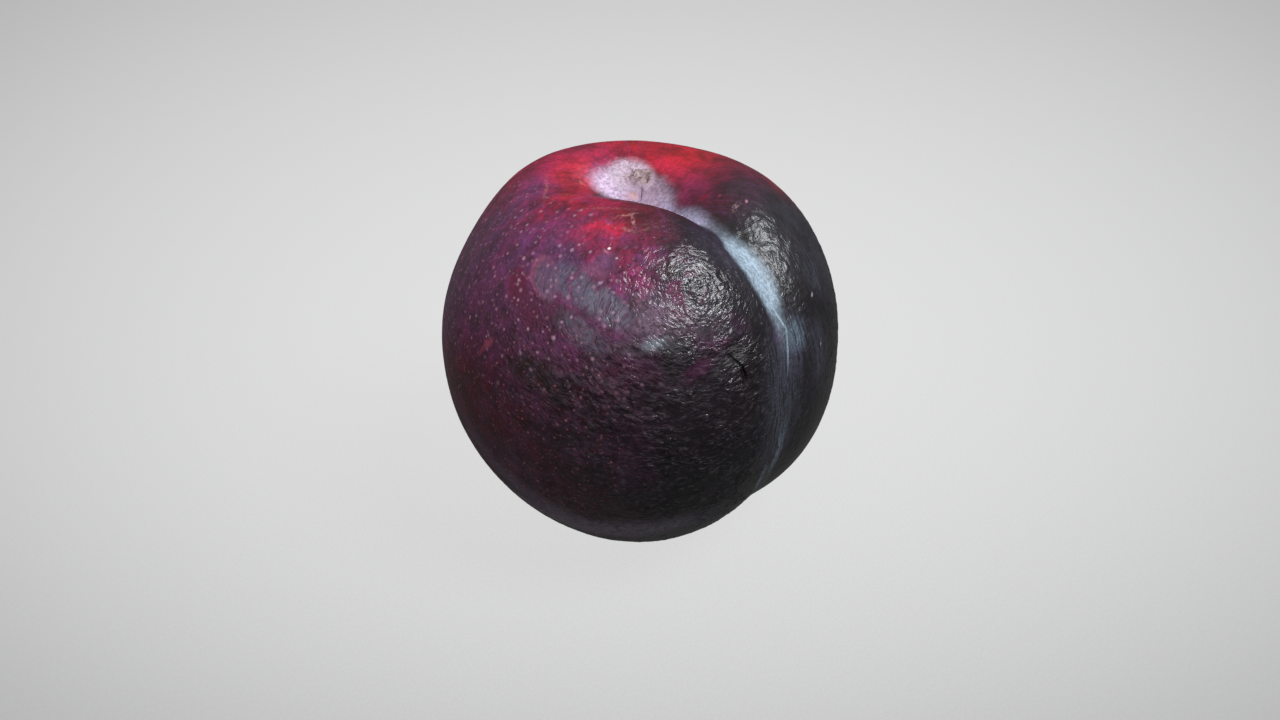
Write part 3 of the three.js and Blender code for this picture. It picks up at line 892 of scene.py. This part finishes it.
def lay_floor(settings):
    """A round sheet of pale paper that glows for the camera with a painted pool of light."""
    mesh = bpy.data.meshes.new("floor")
    bm = bmesh.new()
    bmesh.ops.create_circle(bm, cap_ends=True, segments=96, radius=FLOOR_RADIUS)
    bm.to_mesh(mesh)
    bm.free()
    floor = new_object("floor", mesh)
    paper = bpy.data.materials.new("pale floor")
    paper.use_nodes = True
    g = Graph(paper.node_tree)
    shader = paper.node_tree.nodes["Principled BSDF"]
    place = g.add("ShaderNodeTexCoord").outputs["Object"]
    grain = g.step(g.noise(place, PAPER_GRAIN), 0.2, 0.8, 0.97, 1.03)
    seen = g.add("ShaderNodeLightPath").outputs["Is Camera Ray"]
    # The camera sees the floor glow with a painted pool of light, brightest in the middle.
    tone = g.product(painted_light_pool(g, place), grain, settings.floor_tone - FLOOR_BOUNCE)
    g.put(shader.inputs["Emission Strength"], g.math("MULTIPLY_ADD", seen, tone, FLOOR_BOUNCE))
    shader.inputs["Emission Color"].default_value = (1, 1, 1, 1)
    shader.inputs["Base Color"].default_value = (0.05, 0.05, 0.05, 1)
    shader.inputs["Roughness"].default_value = 0.9
    shader.inputs["Specular IOR Level"].default_value = 0.0
    floor.data.materials.append(paper)


def hang_key(settings):
    """A soft oval lamp, high on the right and in front."""
    toward = sum((reach * axis for reach, axis in zip(KEY_TOWARD, view_axes())), Vector()).normalized()
    data = bpy.data.lights.new("key", "AREA")
    data.shape = "ELLIPSE"
    data.size, data.size_y = KEY_WIDTH, KEY_HEIGHT
    data.color = KEY_COLOUR
    face = math.pi * KEY_WIDTH * KEY_HEIGHT / 4
    data.energy = settings.key * math.pi * face
    key = new_object("key", data)
    key.location = GIRTH_CENTRE + settings.key_distance * toward
    key.rotation_euler = toward.to_track_quat("Z", "Y").to_euler()


class PlumSkinSettings(PropertyGroup):
    cells: IntProperty(
        name="Skin Cells", description="Squares along each edge of the cube that is blown up into the skin",
        default=128, min=16, max=128)
    relief: FloatProperty(
        name="Relief", description="Height of the crinkles and scars, as a share of their natural height",
        default=1.0, min=0.0, max=2.0, subtype="FACTOR")
    seed: FloatProperty(
        name="Seed", description="Picks another set of swells and pores",
        default=3.0, min=0.0, max=100.0)
    wrinkles: FloatProperty(
        name="Fine Wrinkles", description="Depth of the finest wrinkles, as a share of their natural depth",
        default=1.0, min=0.0, max=2.0, subtype="FACTOR")
    roughness: FloatProperty(
        name="Roughness", description="Roughness of the bare skin",
        default=0.31, min=0.05, max=1.0, subtype="FACTOR")
    bloom: FloatProperty(
        name="Bloom", description="Thickness of the white bloom, as a share of the natural one",
        default=1.0, min=0.0, max=1.5, subtype="FACTOR")
    dots: FloatProperty(
        name="Dots", description="Strength of the pale dots",
        default=1.0, min=0.0, max=1.5, subtype="FACTOR")
    dot_colour: FloatVectorProperty(
        name="Dot Colour", description="Colour of the larger dots",
        default=(0.42, 0.22, 0.31), min=0.0, max=1.0, size=3, subtype="COLOR")


class PlumStageSettings(PropertyGroup):
    floor_tone: FloatProperty(
        name="Floor Tone", description="Brightness of the floor where it is brightest",
        default=0.705, min=0.0, max=1.0, subtype="FACTOR")
    bright_side: FloatProperty(
        name="Bright Side", description="Brightness of the sky high over the front",
        default=0.60, min=0.0, max=2.0, subtype="FACTOR")
    dark_side: FloatProperty(
        name="Dark Side", description="Brightness of the sky low behind the fruit",
        default=0.09, min=0.0, max=2.0, subtype="FACTOR")
    key: FloatProperty(
        name="Key", description="Brightness of the key light's face",
        default=20.0, min=0.0, max=100.0)
    key_distance: FloatProperty(
        name="Key Distance", description="From the middle of the fruit to the key light",
        default=KEY_DISTANCE, min=0.2, max=3.0, subtype="DISTANCE", unit="LENGTH")


class PLUM_OT_skin(Operator):
    """Builds the plum's finished skin over its solid"""

    bl_idname = "plum.skin"
    bl_label = "Build Skin"

    def execute(self, context):
        settings = context.scene.plum_skin
        target = smooth_solid()
        holder = new_object("skin_maker", bpy.data.meshes.new("skin_maker"))
        maker = holder.modifiers.new("Skin", "NODES")
        maker.node_group = skin_tree()
        set_input(maker, "Solid", target)
        set_input(maker, "Centre", tuple(GIRTH_CENTRE))
        set_input(maker, "Cells", settings.cells)
        set_input(maker, "Relief", settings.relief)
        set_input(maker, "Seed", settings.seed)
        set_input(maker, "Material", skin_material(settings))
        holder.update_tag()
        depsgraph = context.evaluated_depsgraph_get()
        mesh = bpy.data.meshes.new_from_object(holder.evaluated_get(depsgraph), depsgraph=depsgraph)
        if len(mesh.polygons) != 6 * settings.cells ** 2:
            raise RuntimeError("the skin has a hole where it missed the plum's solid")
        mesh.name = "plum_skin"
        mesh.shade_smooth()
        skin = new_object("plum_skin", mesh)
        for spare in (holder, target):
            bpy.data.objects.remove(spare)
        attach(skin, "root")
        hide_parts("plum")
        return {"FINISHED"}


class PLUM_OT_stage(Operator):
    """Sets the floor, the soft sky, the key light and the camera"""

    bl_idname = "plum.stage"
    bl_label = "Set Stage"

    def execute(self, context):
        settings = context.scene.plum_stage
        context.scene.view_settings.view_transform = "Standard"
        set_sky(context.scene, settings)
        lay_floor(settings)
        hang_key(settings)
        set_camera(context.scene)
        return {"FINISHED"}


class PLUM_PT_panel(Panel):
    """Lists the plum's settings and operators"""

    bl_label = "Plum"
    bl_idname = "PLUM_PT_panel"
    bl_space_type = "VIEW_3D"
    bl_region_type = "UI"
    bl_category = "Plum"

    def draw(self, context):
        scene = context.scene
        for settings, build in ((scene.plum_skin, "plum.skin"), (scene.plum_stage, "plum.stage")):
            for name in settings.bl_rna.properties.keys():
                if name not in ("rna_type", "name"):
                    self.layout.prop(settings, name)
            self.layout.operator(build)


CLASSES = (PlumSkinSettings, PlumStageSettings, PLUM_OT_skin, PLUM_OT_stage, PLUM_PT_panel)


def register():
    for cls in CLASSES:
        bpy.utils.register_class(cls)
    bpy.types.Scene.plum_skin = PointerProperty(type=PlumSkinSettings)
    bpy.types.Scene.plum_stage = PointerProperty(type=PlumStageSettings)


def unregister():
    del bpy.types.Scene.plum_stage
    del bpy.types.Scene.plum_skin
    for cls in reversed(CLASSES):
        bpy.utils.unregister_class(cls)


def main():
    register()
    bpy.ops.plum.stage()
    bpy.ops.plum.skin()


if __name__ == "__main__":
    main()
